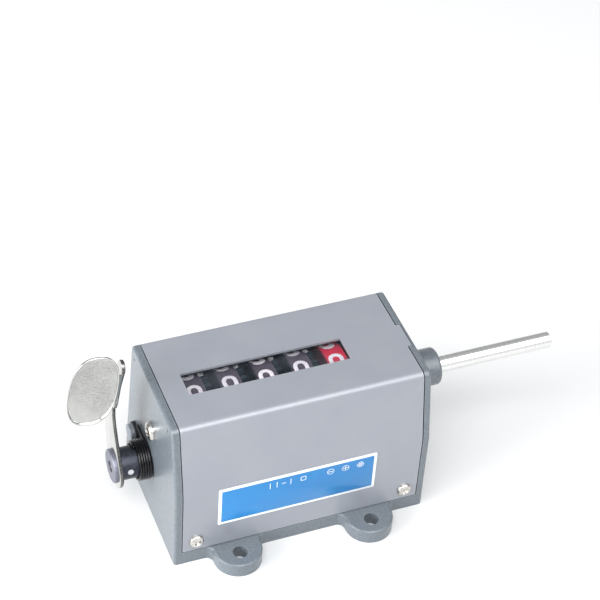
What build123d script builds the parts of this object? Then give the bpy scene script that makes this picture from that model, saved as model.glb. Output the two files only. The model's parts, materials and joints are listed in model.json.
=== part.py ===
from build123d import *
from math import atan2, cos, pi, radians, sin
import os

# Shaft-driven revolution counter with five number wheels and a thumb reset lever.
# X runs along the shaft, +Y is the rear, +Z is up.  The origin is the centre of the
# four foot holes, on the underside.  All sizes are in millimetres.

# ---- casing -----------------------------------------------------------------
CASE_L = 105.0            # cover length, cheek to cheek
CHEEK_T = 3.1             # thickness of the cast end cheeks
CASE_D = 68.2             # depth at the underside
BASE_H = 6.6              # height of the cast base under the cover
CASE_H = 73.0             # overall height
CREASE_H = 40.0           # height where the front face starts to lean back
FRONT_LEAN = 5.9          # how far the top front edge stands back
REAR_LEAN = 9.4           # how far the top rear edge stands in
SHEET_T = 1.2             # cover sheet
BEND_R = 3.0              # outer radius of the cover's bends
CREASE_R = 12.0
SEAM = 0.4                # gap between cover edges and casting
TAB_W = 13.0              # width of the locating tab on the cover's right edge
TAB_L = 1.5               # how far the tab enters the right cheek

HALF = CASE_L / 2
FRONT = -CASE_D / 2
REAR = CASE_D / 2
CHEEK_X = HALF + CHEEK_T  # outer faces of the cheeks

# ---- feet -------------------------------------------------------------------
FOOT_DX = 58.5            # hole spacing along X
FOOT_OUT = 6.7            # hole centre to the base's edge
FOOT_DY = CASE_D + 2 * FOOT_OUT
FOOT_R = 10.2             # half the foot's width
FOOT_NOSE = 4.0           # centre of the rounded end, out from the base's edge
FOOT_HOLE_R = 3.25
FOOT_ROOT_R = 3.0         # plan radius where a foot meets the base
FOOT_EDGE_R = 0.9

# ---- window and label -------------------------------------------------------
WIN_X0 = -42.4
WIN_X1 = 27.2
WIN_W = 12.6
PANE_T = 1.0
PANE_LAP = 4.0            # how far the pane reaches past the opening
LABEL_L = 69.0
LABEL_H = 20.6
LABEL_T = 0.3
LABEL_X = -2.6            # centre of the label
LABEL_Z = 29.3

# ---- shaft positions in the Y-Z plane ----------------------------------------
WHEEL_AT = (-4.5, 51.0)                       # number wheels and input shaft
RESET_AT = (1.8, 28.7)                        # reset shaft
GEAR_A = 21.0                                 # centre distance of both gear pairs
COUNTER_AT = (WHEEL_AT[0] + 0.6 * GEAR_A, WHEEL_AT[1] - 0.8 * GEAR_A)
RING_PITCH_R = 18.4                           # 20-tooth ring on each number wheel
PINION_PITCH_R = RING_PITCH_R * 8 / 20        # 8-tooth carry pinion
CARRY_DIR = -30.0                             # degrees below the rearward direction
CARRY_A = RING_PITCH_R + PINION_PITCH_R
CARRY_AT = (WHEEL_AT[0] + CARRY_A * cos(radians(CARRY_DIR)),
            WHEEL_AT[1] + CARRY_A * sin(radians(CARRY_DIR)))

# ---- number wheels ----------------------------------------------------------
WHEELS = 5
PITCH = 15.3                                  # spacing of the wheels along X
UNITS_X = 22.4                                # centre of the units drum
DRUM_R = 19.2
DRUM_W = 9.4
RIM_T = 1.8
WEB_T = 2.0
RING_W = 2.9
RING_TIP_R = 19.1
RING_ROOT_R = 16.7
CARRY_DISC_R = 16.0
CARRY_DISC_W = 1.3
CARRY_TOOTH_R = 16.6
SLEEVE_R = 4.3
CAM_W = 1.2
CAM_LOW_R = 5.4
CAM_HIGH_R = 9.2
AXLE_R = 3.0
FIT = 0.05                                    # radial running clearance
TIGHT = 0.02                                  # radial gap of parts fixed together

# ---- carry pinions ----------------------------------------------------------
PINION_TIP_R = 8.6
PINION_ROOT_R = 6.2
CARRY_R = 2.0
SIDE = 0.35                                   # axial gap between moving neighbours

# ---- gear train -------------------------------------------------------------
MODULE = 0.6
INPUT_TEETH = 20
COUNTER_TEETH = 50
DRIVER_TEETH = 14
UNITS_TEETH = 56
UNITS_GEAR_X = (29.6, 32.4)
DRIVER_X = (29.2, 32.8)
PLATE_X = (34.5, 37.0)
COUNTER_GEAR_X = (40.4, 43.2)
INPUT_PINION_X = (39.2, 44.4)
COUNTER_R = 2.0

# ---- input shaft ------------------------------------------------------------
SHAFT_R = 3.5             # drive end, outside the boss
JOURNAL_R = 3.2           # the length that runs in the bush and carries the pinion
SHAFT_END = 123.4
SHAFT_START = 38.2
BOSS_R = 8.1
BOSS_END = 69.8
BUSH_R = 5.5
BUSH_END = 66.0
COLLAR_X = (45.6, 50.8)
COLLAR_R = 6.5

# ---- reset lever ------------------------------------------------------------
RESET_R = 3.0
HUB_R = 6.9
HUB_X = (-68.8, -55.9)
LEVER_X = (-70.4, -68.8)
CAP_X = (-71.9, -70.4)
CAP_R = 7.3
RING_R = 9.7                                  # lever eye around the hub
LEVER_BEND = 8.7                              # degrees, upper part leans inwards
LEVER_BEND_H = 36.0                           # height of that bend above the hub
DISH_W = 20.8
DISH_L = 36.6
DISH_X = -10.8              # dish centre, out from the arm
DISH_H = 10.8               # dish centre above the bend
DISH_CAP = 8.8              # radius of the dish outline's corners
DISH_T = 1.0
DISH_DEPTH = 1.3
TAB_END = (0.4, 19.4, 3.2)  # lever's rounded end: along Y, above the bend, radius
HAMMER_T = 0.9
HAMMER_L = 16.6
HAMMER_W = 2.4
LEVER_TRAVEL = 45.0                           # degrees
PIN_X = -65.1
PIN_R = 1.2
PIN_TILT = 10.0
WIRE_R = 0.62
SPRING_R = 8.2
COILS = 5
COIL_STEP = 1.32
POST_AT = (17.5, 28.7)
POST_R = 4.0

# ---- screws -----------------------------------------------------------------
COVER_SCREW_X = HALF - 6.3
COVER_SCREW_Z = BASE_H + 5.9
POST_W = 11.0
POST_D = 8.0
SCREW_R = 1.45
TAPPED_R = 1.5


def x_face(x, face):
    """A flat shape drawn in Y and Z, placed at x."""
    return Plane.YZ.offset(x) * face


def slab(x0, x1, face):
    """The Y-Z shape as a solid from x0 to x1."""
    return extrude(x_face(x0, face), amount=x1 - x0)


def rod(x0, x1, r, at):
    return slab(x0, x1, Pos(*at) * Circle(r))


def tube(x0, x1, r_out, r_in, at):
    return rod(x0, x1, r_out, at) - rod(x0 - 1, x1 + 1, r_in, at)


def block(x0, x1, y0, y1, z0, z1):
    return Pos((x0 + x1) / 2, (y0 + y1) / 2, (z0 + z1) / 2) * Box(x1 - x0, y1 - y0, z1 - z0)


def outline(points):
    return make_face(Polyline(*points, close=True))


def polar(r, degrees):
    return (r * cos(radians(degrees)), r * sin(radians(degrees)))


def gear_face(teeth, tip_r, root_r, tip_part, root_part, turn=0.0):
    """Straight-sided teeth; the parts are the share of one pitch that a tooth takes."""
    step = 360 / teeth
    points = []
    for tooth in range(teeth):
        middle = turn + tooth * step
        points.append(polar(root_r, middle - step * root_part / 2))
        points.append(polar(tip_r, middle - step * tip_part / 2))
        points.append(polar(tip_r, middle + step * tip_part / 2))
        points.append(polar(root_r, middle + step * root_part / 2))
    return outline(points)


def spur_face(teeth, turn=0.0):
    """Tooth outline of the train's gears, with room between the flanks."""
    pitch_r = MODULE * teeth / 2
    return gear_face(teeth, pitch_r + 0.75 * MODULE, pitch_r - 1.1 * MODULE, 0.16, 0.52, turn)


def casing_face(inset=0.0):
    """Cross-section of the casing, with rounded top edges."""
    corners = [(FRONT, 0), (FRONT, CREASE_H), (FRONT + FRONT_LEAN, CASE_H),
               (REAR - REAR_LEAN, CASE_H), (REAR, 0)]
    face = outline(corners)
    top = face.vertices().filter_by(lambda v: v.Y > CASE_H - 1)
    face = fillet(top, BEND_R)
    crease = face.vertices().filter_by(lambda v: abs(v.Y - CREASE_H) < 1)
    face = fillet(crease, CREASE_R)
    if inset:
        face = offset(face, -inset)
    return face


def cover_screw_places():
    """Where the heads of the cover's screws sit, two in front and two on the leaning rear."""
    rear_y = REAR - REAR_LEAN * COVER_SCREW_Z / CASE_H
    lean = atan2(REAR_LEAN, CASE_H) * 180 / pi
    places = []
    for x in (-COVER_SCREW_X, COVER_SCREW_X):
        places.append(Pos(x, FRONT, COVER_SCREW_Z) * Rot(90, 0, 0))
        places.append(Pos(x, rear_y, COVER_SCREW_Z) * Rot(lean - 90, 0, 0))
    return places


# ---- casing parts -----------------------------------------------------------
def make_foot():
    """A foot that stands out towards -Y from the base's edge at y = 0."""
    nose = Pos(0, -FOOT_NOSE) * Circle(FOOT_R)
    neck = Pos(0, -FOOT_NOSE / 2 + 0.5) * Rectangle(2 * FOOT_R, FOOT_NOSE + 1)
    root = Pos(0, 0.5) * Rectangle(2 * FOOT_R + 4 * FOOT_ROOT_R, 1)
    face = nose + neck + root
    inner = face.vertices().filter_by(lambda v: abs(v.Y) < 0.01 and abs(abs(v.X) - FOOT_R) < 0.01)
    face = fillet(inner, FOOT_ROOT_R)
    foot = extrude(face, amount=BASE_H)
    rim = foot.edges().filter_by(lambda e: e.center().Z > BASE_H - 0.01 and e.center().Y < -0.3)
    return fillet(rim, FOOT_EDGE_R)


def make_base_frame():
    """One casting: base, two cheeks, shaft boss, feet and the cover's screw posts."""
    section = casing_face()
    left = slab(-CHEEK_X, -HALF, section)
    right = slab(HALF, CHEEK_X, section)
    rims = left.edges().filter_by(lambda e: abs(e.center().X + CHEEK_X) < 0.01 and e.center().Z > 1)
    left = fillet(rims, 1.2)
    rims = right.edges().filter_by(lambda e: abs(e.center().X - CHEEK_X) < 0.01 and e.center().Z > 1)
    right = fillet(rims, 1.2)
    base = block(-HALF - 0.5, HALF + 0.5, FRONT, REAR, 0, BASE_H)
    body = left + right + base

    foot = make_foot()
    for x in (-FOOT_DX / 2, FOOT_DX / 2):
        body += Pos(x, FRONT, 0) * foot
        body += Pos(x, REAR, 0) * Rot(0, 0, 180) * foot
    for side in (-1, 1):
        for x in (-FOOT_DX / 2, FOOT_DX / 2):
            body -= Pos(x, side * FOOT_DY / 2, 0) * Cylinder(FOOT_HOLE_R, 3 * BASE_H)

    inner = casing_face(SHEET_T + 0.1)
    for sx in (-1, 1):
        for sy in (-1, 1):
            y0 = sy * (CASE_D / 2 - POST_D)
            y1 = sy * (CASE_D / 2)
            post = block(min(sx * (HALF + 1), sx * (HALF - POST_W)), max(sx * (HALF + 1), sx * (HALF - POST_W)),
                         min(y0, y1), max(y0, y1), BASE_H - 1, COVER_SCREW_Z + 5)
            body += post & slab(-HALF - 1, HALF + 1, inner)
    for place in cover_screw_places():
        body -= place * Cylinder(TAPPED_R, 24)

    boss = rod(HALF + 0.5, BOSS_END, BOSS_R, WHEEL_AT)
    boss = fillet(boss.edges().filter_by(lambda e: e.center().X > BOSS_END - 0.01), 1.4)
    body += boss
    body -= rod(HALF - 1, BUSH_END + 0.2, BUSH_R + TIGHT, WHEEL_AT)
    body -= rod(HALF, BOSS_END + 1, SHAFT_R + 0.08, WHEEL_AT)
    body -= Pos(CHEEK_X + 2.2, WHEEL_AT[0], WHEEL_AT[1] + BOSS_R) * Cylinder(0.8, 8)

    bearing = rod(46.8, HALF + 0.5, 4.5, COUNTER_AT)
    body += bearing
    body -= rod(46.0, HALF + 1.6, COUNTER_R + FIT, COUNTER_AT)

    body -= rod(-CHEEK_X - 1, -HALF + 1, 5.0 + TIGHT, RESET_AT)
    body -= rod(-CHEEK_X - 1, -HALF + 1, 2.1, WHEEL_AT)
    body -= rod(-CHEEK_X - 1, -HALF + 1, 2.0 + TIGHT, POST_AT)
    body -= rod(-HALF - 1.6, -HALF + 1, CARRY_R + TIGHT, CARRY_AT)
    for at in ((-23.2, 68.9), (20.7, 67.5)):
        body -= rod(-CHEEK_X - 1, -CHEEK_X + 0.5, 0.8, at)

    tab_y = WHEEL_AT[0] + 0.3
    body -= block(HALF - 1, HALF + TAB_L + SEAM, tab_y - TAB_W / 2 - SEAM, tab_y + TAB_W / 2 + SEAM,
                  CASE_H - SHEET_T - 0.3, CASE_H + 1)
    for y in (-16, 16):
        body -= Pos(41.5, y, 0) * Cylinder(TAPPED_R + 0.15, 3 * BASE_H)
        body -= Pos(41.5, y, 0) * Cylinder(3.1, 2 * 2.6)
    return body


def make_cover():
    """Folded sheet: front, top and rear in one piece, open below."""
    x0 = -HALF + SEAM
    x1 = HALF - SEAM
    shell = slab(x0, x1, casing_face()) - slab(x0 - 1, x1 + 1, casing_face(SHEET_T))
    shell -= block(x0 - 1, x1 + 1, FRONT - 1, REAR + 1, -1, BASE_H + SEAM)
    win_y = WHEEL_AT[0] + 0.3
    shell -= block(WIN_X0, WIN_X1, win_y - WIN_W / 2, win_y + WIN_W / 2, CASE_H - 5, CASE_H + 5)
    shell += block(HALF - 1, HALF + TAB_L, win_y - TAB_W / 2, win_y + TAB_W / 2, CASE_H - SHEET_T, CASE_H)
    for place in cover_screw_places():
        shell -= place * Cylinder(TAPPED_R + 0.2, 24)
    return shell


def make_pane():
    win_y = WHEEL_AT[0] + 0.3
    y0 = win_y - WIN_W / 2 - PANE_LAP
    y1 = win_y + WIN_W / 2 + PANE_LAP
    z1 = CASE_H - SHEET_T - 0.02
    return block(WIN_X0 - PANE_LAP, WIN_X1 + PANE_LAP, y0, y1, z1 - PANE_T, z1)


def make_label():
    plate = block(LABEL_X - LABEL_L / 2, LABEL_X + LABEL_L / 2, FRONT - LABEL_T, FRONT,
                  LABEL_Z - LABEL_H / 2, LABEL_Z + LABEL_H / 2)
    return fillet(plate.edges().filter_by(Axis.Y), 0.6)


def pan_head(r, height):
    """Domed screw head standing on z = 0, with a cross recess."""
    head = Cylinder(r, height, align=(Align.CENTER, Align.CENTER, Align.MIN))
    head = fillet(head.edges().filter_by(lambda e: e.center().Z > height - 0.01), height * 0.6)
    slot_w = r * 0.3
    slot_l = r * 1.15
    recess = Box(slot_l, slot_w, height) + Box(slot_w, slot_l, height)
    return head - Pos(0, 0, height) * recess


def screw(head_r, head_h, shank_r, shank_l):
    """Screw whose head sits on z = 0 and whose shank runs down."""
    shank = Cylinder(shank_r, shank_l, align=(Align.CENTER, Align.CENTER, Align.MAX))
    return pan_head(head_r, head_h) + shank


def make_cover_screws():
    one = screw(3.1, 1.8, SCREW_R, 7.5)
    return Compound([place * one for place in cover_screw_places()])


def make_axle_screw():
    """Pan screw that holds the wheel axle's left end to the cheek."""
    return Pos(-CHEEK_X, *WHEEL_AT) * Rot(0, -90, 0) * screw(4.1, 2.8, 1.95, CHEEK_T + 7)


def make_plate_screws():
    one = screw(2.8, 1.8, SCREW_R, BASE_H)
    return Compound([Pos(41.5, y, 2.5) * Rot(180, 0, 0) * one for y in (-16, 16)])


# ---- inner frame ------------------------------------------------------------
def make_wheel_axle():
    axle = rod(-HALF, PLATE_X[1], AXLE_R, WHEEL_AT)
    return axle - rod(-HALF - 1, -HALF + 8, 2.0, WHEEL_AT)


def wheel_x(place):
    """Centre of a drum; place 0 is the units wheel at the right."""
    return UNITS_X - place * PITCH


def make_axle_spacers():
    left_end = wheel_x(WHEELS - 1) - DRUM_W / 2 - CARRY_DISC_W - SIDE
    long_one = tube(-HALF, left_end, 4.6, AXLE_R + TIGHT, WHEEL_AT)
    short_one = tube(UNITS_GEAR_X[1] + 0.6, PLATE_X[0], 4.6, AXLE_R + TIGHT, WHEEL_AT)
    return Compound([long_one, short_one])


def make_carry_shaft():
    return rod(-HALF - 1.5, PLATE_X[1], CARRY_R, CARRY_AT)


def pinion_span(place):
    """Where the pinion between this wheel and the next higher one lies along X."""
    x1 = wheel_x(place) - DRUM_W / 2 - SIDE
    x0 = wheel_x(place + 1) + DRUM_W / 2 + SIDE
    return x0, x1


def make_carry_spacers():
    spans = [pinion_span(place) for place in range(WHEELS - 1)]
    edges = [(-HALF, spans[3][0] - SIDE)]
    for place in (3, 2, 1):
        edges.append((spans[place][1] + SIDE, spans[place - 1][0] - SIDE))
    edges.append((spans[0][1] + SIDE, PLATE_X[0]))
    return Compound([tube(x0, x1, 3.2, CARRY_R + TIGHT, CARRY_AT) for x0, x1 in edges])


def make_gear_plate():
    """Bent plate that carries the right ends of the inner shafts."""
    face = outline([(-27, BASE_H), (-27, 44), (-22, 63), (19, 63), (26, 40), (27, BASE_H)])
    plate = slab(PLATE_X[0], PLATE_X[1], face)
    foot = block(PLATE_X[0], 47.0, -23, 23, BASE_H, BASE_H + 2.5)
    body = plate + foot
    body -= rod(30, 40, AXLE_R + TIGHT, WHEEL_AT)
    body -= rod(30, 40, CARRY_R + TIGHT, CARRY_AT)
    body -= rod(30, 40, RESET_R + FIT, RESET_AT)
    body -= rod(30, 40, 3.2 + TIGHT, COUNTER_AT)
    for y in (-16, 16):
        body -= Pos(41.5, y, BASE_H) * Cylinder(TAPPED_R, 12)
    return body


def make_counter_bush():
    return tube(PLATE_X[0] - 0.5, PLATE_X[1] + 0.5, 3.2, COUNTER_R + FIT, COUNTER_AT)


def make_input_bush():
    body = tube(HALF - 1.2, BUSH_END, BUSH_R, JOURNAL_R + FIT, WHEEL_AT)
    return body + tube(HALF - 1.2, HALF, 7.2, JOURNAL_R + FIT, WHEEL_AT)


def make_reset_bush():
    body = tube(-CHEEK_X, -HALF, 5.0, RESET_R + FIT, RESET_AT)
    return body + tube(-HALF, -HALF + 1.5, 6.5, RESET_R + FIT, RESET_AT)


def make_anchor_post():
    """Post on the left cheek that holds the fixed leg of the reset spring."""
    head = rod(-CHEEK_X - 3.5, -CHEEK_X, POST_R, POST_AT)
    head = fillet(head.edges().filter_by(lambda e: e.center().X < -CHEEK_X - 3.4), 0.4)
    shank = rod(-CHEEK_X - 0.5, -HALF + 0.8, 2.0, POST_AT)
    return head + shank


def make_post_sleeve():
    return tube(-CHEEK_X - 1.5, -CHEEK_X, POST_R + 0.7, POST_R + TIGHT, POST_AT)


# ---- gear train -------------------------------------------------------------
def make_input_shaft():
    drive_start = BOSS_END + 0.3
    drive_end = rod(drive_start, SHAFT_END, SHAFT_R, WHEEL_AT)
    end = drive_end.edges().filter_by(lambda e: e.center().X > SHAFT_END - 0.01)
    return chamfer(end, 0.7) + rod(SHAFT_START, drive_start, JOURNAL_R, WHEEL_AT)


def make_input_pinion():
    teeth = slab(INPUT_PINION_X[0], INPUT_PINION_X[1], Pos(*WHEEL_AT) * spur_face(INPUT_TEETH))
    return teeth - rod(38, 46, JOURNAL_R + TIGHT, WHEEL_AT)


def make_collar():
    ring = tube(COLLAR_X[0], COLLAR_X[1], COLLAR_R, JOURNAL_R + TIGHT, WHEEL_AT)
    middle = sum(COLLAR_X) / 2
    hole = Pos(middle, WHEEL_AT[0], WHEEL_AT[1] + 5) * Cylinder(1.25, 6)
    return ring - hole


def make_collar_screw():
    middle = sum(COLLAR_X) / 2
    low = WHEEL_AT[1] + JOURNAL_R + 0.05
    body = Pos(middle, WHEEL_AT[0], low) * Cylinder(1.22, 2.7, align=(Align.CENTER, Align.CENTER, Align.MIN))
    return body - Pos(middle, WHEEL_AT[0], low + 2.7) * Box(3, 0.4, 1.2)


def mesh_turn(teeth_here, teeth_there, at_here, at_there):
    """Turn of a gear that puts a gap in front of the other gear's tooth.

    The other gear has a tooth at angle 0 of its own drawing."""
    line = atan2(at_there[1] - at_here[1], at_there[0] - at_here[0]) * 180 / pi
    back = line + 180
    step_there = 360 / teeth_there
    off = back - round(back / step_there) * step_there
    gap = 180 / teeth_here
    return line + gap + off * teeth_there / teeth_here


COUNTER_TURN = mesh_turn(COUNTER_TEETH, INPUT_TEETH, COUNTER_AT, WHEEL_AT)
DRIVER_TURN = mesh_turn(DRIVER_TEETH, UNITS_TEETH, COUNTER_AT, WHEEL_AT)
PINION_TURN = mesh_turn(8, 20, CARRY_AT, WHEEL_AT)


def make_countershaft():
    return rod(DRIVER_X[0] - 0.6, HALF + 1.2, COUNTER_R, COUNTER_AT)


def make_counter_gear():
    gear = slab(COUNTER_GEAR_X[0], COUNTER_GEAR_X[1],
                Pos(*COUNTER_AT) * spur_face(COUNTER_TEETH, COUNTER_TURN))
    gear += rod(COUNTER_GEAR_X[0] - 2.4, COUNTER_GEAR_X[0] + 1, 4.4, COUNTER_AT)
    return gear - rod(30, 50, COUNTER_R + TIGHT, COUNTER_AT)


def make_counter_pinion():
    gear = slab(DRIVER_X[0], DRIVER_X[1], Pos(*COUNTER_AT) * spur_face(DRIVER_TEETH, DRIVER_TURN))
    return gear - rod(20, 50, COUNTER_R + TIGHT, COUNTER_AT)


def make_units_gear():
    gear = slab(UNITS_GEAR_X[0], UNITS_GEAR_X[1], Pos(*WHEEL_AT) * spur_face(UNITS_TEETH))
    return gear - rod(20, 50, SLEEVE_R + TIGHT, WHEEL_AT)


# ---- number wheels ----------------------------------------------------------
def make_number_wheel(place):
    """Moulded wheel: sleeve, web, drum and, on the left, the disc with the carry teeth."""
    x = wheel_x(place)
    left = x - DRUM_W / 2
    right = x + DRUM_W / 2
    sleeve_end = UNITS_GEAR_X[1] + 0.3 if place == 0 else right + RING_W + CAM_W + 0.3
    wheel = tube(left, right, DRUM_R, DRUM_R - RIM_T, WHEEL_AT)
    wheel += rod(right - WEB_T, right, DRUM_R - 0.5, WHEEL_AT)
    wheel += rod(left - CARRY_DISC_W, left + 1, CARRY_DISC_R, WHEEL_AT)
    wheel += rod(left, left + 1, DRUM_R - 0.5, WHEEL_AT)
    for turn in (-9, 9):
        tooth = slab(left - CARRY_DISC_W, left + 0.5,
                     Pos(*WHEEL_AT) * Rot(0, 0, CARRY_DIR + 54 + turn) * Pos(CARRY_TOOTH_R - 1.5, 0) * Rectangle(3, 2.2))
        wheel += tooth & rod(left - CARRY_DISC_W, left + 0.5, CARRY_TOOTH_R, WHEEL_AT)
    wheel += rod(left - CARRY_DISC_W, sleeve_end, SLEEVE_R, WHEEL_AT)
    return wheel - rod(left - 5, sleeve_end + 5, AXLE_R + FIT, WHEEL_AT)


def make_wheel_ring(place):
    """20-tooth ring that a carry pinion turns."""
    x0 = wheel_x(place) + DRUM_W / 2
    face = gear_face(20, RING_TIP_R, RING_ROOT_R, 0.24, 0.5)
    ring = slab(x0, x0 + RING_W, Pos(*WHEEL_AT) * face)
    return ring - rod(x0 - 1, x0 + RING_W + 1, SLEEVE_R + TIGHT, WHEEL_AT)


def cam_x(place):
    x0 = wheel_x(place) + DRUM_W / 2
    return x0 + 0.2 if place == 0 else x0 + RING_W + 0.05


def make_heart_cam(place):
    """Heart-shaped cam; its low point faces the reset shaft when the wheel shows zero."""
    low = atan2(RESET_AT[1] - WHEEL_AT[1], RESET_AT[0] - WHEEL_AT[0]) * 180 / pi
    points = []
    for step in range(-9, 9):
        share = abs(step) / 9
        points.append(polar(CAM_LOW_R + (CAM_HIGH_R - CAM_LOW_R) * share, low + step * 20))
    x0 = cam_x(place)
    cam = slab(x0, x0 + CAM_W, Pos(*WHEEL_AT) * outline(points))
    return cam - rod(x0 - 1, x0 + CAM_W + 1, SLEEVE_R + TIGHT, WHEEL_AT)


def make_carry_pinion(place):
    x0, x1 = pinion_span(place)
    face = gear_face(8, PINION_TIP_R, PINION_ROOT_R, 0.22, 0.46, PINION_TURN)
    body = slab(x0, x1, Pos(*CARRY_AT) * face)
    return body - rod(x0 - 1, x1 + 1, CARRY_R + FIT, CARRY_AT)


# ---- reset mechanism --------------------------------------------------------
def make_reset_shaft():
    shaft = rod(LEVER_X[0], PLATE_X[1] - 0.1, RESET_R, RESET_AT)
    shaft += rod(LEVER_X[0] - 1.0, LEVER_X[0] + 1, 1.4, RESET_AT)
    return shaft - cross_pin(PIN_R + TIGHT, HUB_R + 1)


def cross_pin(r, half_length):
    pin = Cylinder(r, 2 * half_length)
    return Pos(PIN_X, *RESET_AT) * Rot(90 - PIN_TILT, 0, 0) * pin


def make_hub():
    hub = tube(HUB_X[0], HUB_X[1], HUB_R, RESET_R + TIGHT, RESET_AT)
    return hub - cross_pin(PIN_R + TIGHT, HUB_R + 1)


def make_hub_cap():
    cap = rod(CAP_X[0], CAP_X[1], CAP_R, RESET_AT)
    cap = chamfer(cap.edges().filter_by(lambda e: e.center().X < CAP_X[0] + 0.01), 0.4)
    return cap - rod(CAP_X[0] - 1, CAP_X[1] + 1, 2.6, RESET_AT)


def lever_point(y, z):
    """A point of the lever's drawing, measured from the reset axis."""
    return (RESET_AT[0] + y, RESET_AT[1] + z)


def make_lever():
    """Nickel-plated stamping: eye, arm, a part bent inwards and the thumb dish."""
    arm = outline([lever_point(*p) for p in
                   ((-9.0, 3.4), (-3.4, 14.0), (1.4, 25.5), (1.0, 37.0), (9.0, 37.0),
                    (12.0, 27.0), (12.4, 14.5), (9.6, 1.5))])
    lower = slab(LEVER_X[0], LEVER_X[1], arm) + rod(LEVER_X[0], LEVER_X[1], RING_R, RESET_AT)
    lower -= rod(LEVER_X[0] - 1, LEVER_X[1] + 1, RESET_R + TIGHT, RESET_AT)

    thick = LEVER_X[1] - LEVER_X[0]
    tongue = slab(0, thick, outline([(-2.8, -1.5), (6.6, -1.5), (3.6, TAB_END[1]), (-2.8, TAB_END[1])]))
    tongue += Rot(0, 90, 0) * Pos(-TAB_END[1], TAB_END[0], thick / 2) * Cylinder(TAB_END[2], thick)
    bowl_face = Pos(DISH_X, DISH_H) * RectangleRounded(DISH_W, DISH_L, DISH_CAP)
    bowl = extrude(Plane.XZ * bowl_face, amount=DISH_T + DISH_DEPTH)
    hollow_face = Pos(DISH_X, DISH_H) * RectangleRounded(DISH_W - 2, DISH_L - 2, DISH_CAP - 1)
    bowl -= Pos(0, -DISH_T, 0) * extrude(Plane.XZ * hollow_face, amount=DISH_DEPTH + 1)
    bowl = Pos(0, -1.2, 0) * bowl
    bowl += block(-2.5, thick, -3.2, -1.2, 1.5, 19.0)
    keep = block(-DISH_W - 5, thick, -10, 10, -20, 50)
    upper = (tongue + bowl) & keep
    hinge = Pos(LEVER_X[0], RESET_AT[0], RESET_AT[1] + LEVER_BEND_H)
    return lower + hinge * Rot(0, LEVER_BEND, 0) * upper


def make_hub_pin():
    return cross_pin(PIN_R, HUB_R + 0.15)


def make_hammers():
    """Five striker arms, one beside each heart cam."""
    toward = atan2(WHEEL_AT[1] - RESET_AT[1], WHEEL_AT[0] - RESET_AT[0]) * 180 / pi
    rest = toward + LEVER_TRAVEL
    side = HAMMER_W / 2
    arm = outline([(0, side), (HAMMER_L - 2, side), (HAMMER_L, 0), (HAMMER_L - 2, -side), (0, -side)])
    face = Circle(5.0) + arm - Circle(RESET_R + TIGHT)
    face = Pos(*RESET_AT) * Rot(0, 0, rest) * face
    parts = []
    for place in range(WHEELS):
        x0 = cam_x(place) + (CAM_W - HAMMER_T) / 2
        parts.append(slab(x0, x0 + HAMMER_T, face))
    return Compound(parts)


def make_spring():
    """Close-wound torsion spring round the hub, drawn as its turns, with two legs."""
    turns = []
    for coil in range(COILS):
        x = -CHEEK_X - 0.9 - coil * COIL_STEP
        turns.append(Pos(x, *RESET_AT) * Rot(0, 90, 0) * Torus(SPRING_R, WIRE_R))
    return Compound(turns)


def save(node, shape):
    export_step(shape, f"parts/{node}.step")


def main():
    os.makedirs("parts", exist_ok=True)
    save("base_frame", make_base_frame())
    save("cover", make_cover())
    save("window_pane", make_pane())
    save("label_plate", make_label())
    save("cover_screws", make_cover_screws())
    save("axle_screw", make_axle_screw())
    save("gear_plate_screws", make_plate_screws())
    save("wheel_axle", make_wheel_axle())
    save("axle_spacers", make_axle_spacers())
    save("carry_shaft", make_carry_shaft())
    save("carry_spacers", make_carry_spacers())
    save("gear_plate", make_gear_plate())
    save("countershaft_bush", make_counter_bush())
    save("input_bush", make_input_bush())
    save("reset_bush", make_reset_bush())
    save("spring_anchor_post", make_anchor_post())
    save("post_sleeve", make_post_sleeve())
    save("input_shaft", make_input_shaft())
    save("input_pinion", make_input_pinion())
    save("shaft_collar", make_collar())
    save("collar_screw", make_collar_screw())
    save("countershaft", make_countershaft())
    save("counter_gear", make_counter_gear())
    save("counter_pinion", make_counter_pinion())
    save("units_gear", make_units_gear())
    for place in range(WHEELS):
        save(f"number_wheel_{place + 1}", make_number_wheel(place))
        save(f"heart_cam_{place + 1}", make_heart_cam(place))
        if place > 0:
            save(f"wheel_ring_{place + 1}", make_wheel_ring(place))
    for place in range(WHEELS - 1):
        save(f"carry_pinion_{place + 1}", make_carry_pinion(place))
    save("reset_shaft", make_reset_shaft())
    save("reset_hub", make_hub())
    save("hub_cap", make_hub_cap())
    save("reset_lever", make_lever())
    save("hub_pin", make_hub_pin())
    save("reset_hammers", make_hammers())
    save("reset_spring", make_spring())


main()
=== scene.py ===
"""A shaft-driven revolution counter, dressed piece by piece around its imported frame."""
import json
from math import copysign, cos, pi, radians, sin

import bmesh
import bpy
from mathutils import Matrix, Vector


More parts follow.
